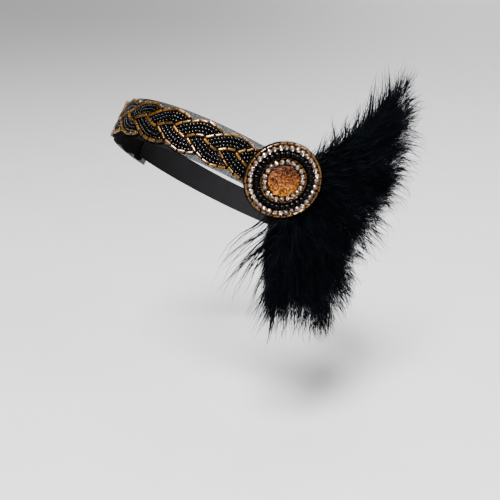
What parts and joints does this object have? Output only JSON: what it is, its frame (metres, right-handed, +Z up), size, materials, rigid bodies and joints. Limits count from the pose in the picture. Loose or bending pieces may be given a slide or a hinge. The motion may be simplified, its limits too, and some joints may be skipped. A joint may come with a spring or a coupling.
{
  "type": "flapper headband",
  "caption": "Beaded flapper headband: a plaited bead strip on net, closed by a back elastic, with a round jewelled medallion and black marabou plumes at the left temple.",
  "frame": {"origin": "middle of the loop, where the head sits in it", "axes": "+Z up, the wearer faces -Y and their left is +X, with the front of the loop raised as it is worn"},
  "size_m": [0.1953, 0.169, 0.1683],
  "materials": {
    "net": "fine black tulle, matt",
    "elastic": "plain black woven elastic",
    "black_beads": "glossy opaque black glass beads",
    "felt": "black felt",
    "gold_bugles": "silver-lined gold bugle beads, bronze in shade",
    "crystals": "clear foil-backed cut stones in brown-gold cups",
    "cabochon": "orange-gold glitter cabochon with a grainy face",
    "plume": "black marabou down, soft sheen"
  },
  "bodies": {
    "root": {"net_band": "net", "back_elastic": "elastic", "braid_strand_1": "black_beads", "braid_strand_2": "black_beads", "braid_strand_3": "black_beads", "medallion_felt": "felt", "outer_bugle_ring": "gold_bugles", "outer_crystal_ring": "crystals", "black_bead_ring": "black_beads", "inner_bugle_ring": "gold_bugles", "inner_crystal_ring": "crystals", "centre_cabochon": "cabochon", "plume_upper": "plume", "plume_lower": "plume"}
  },
  "joints": []
}
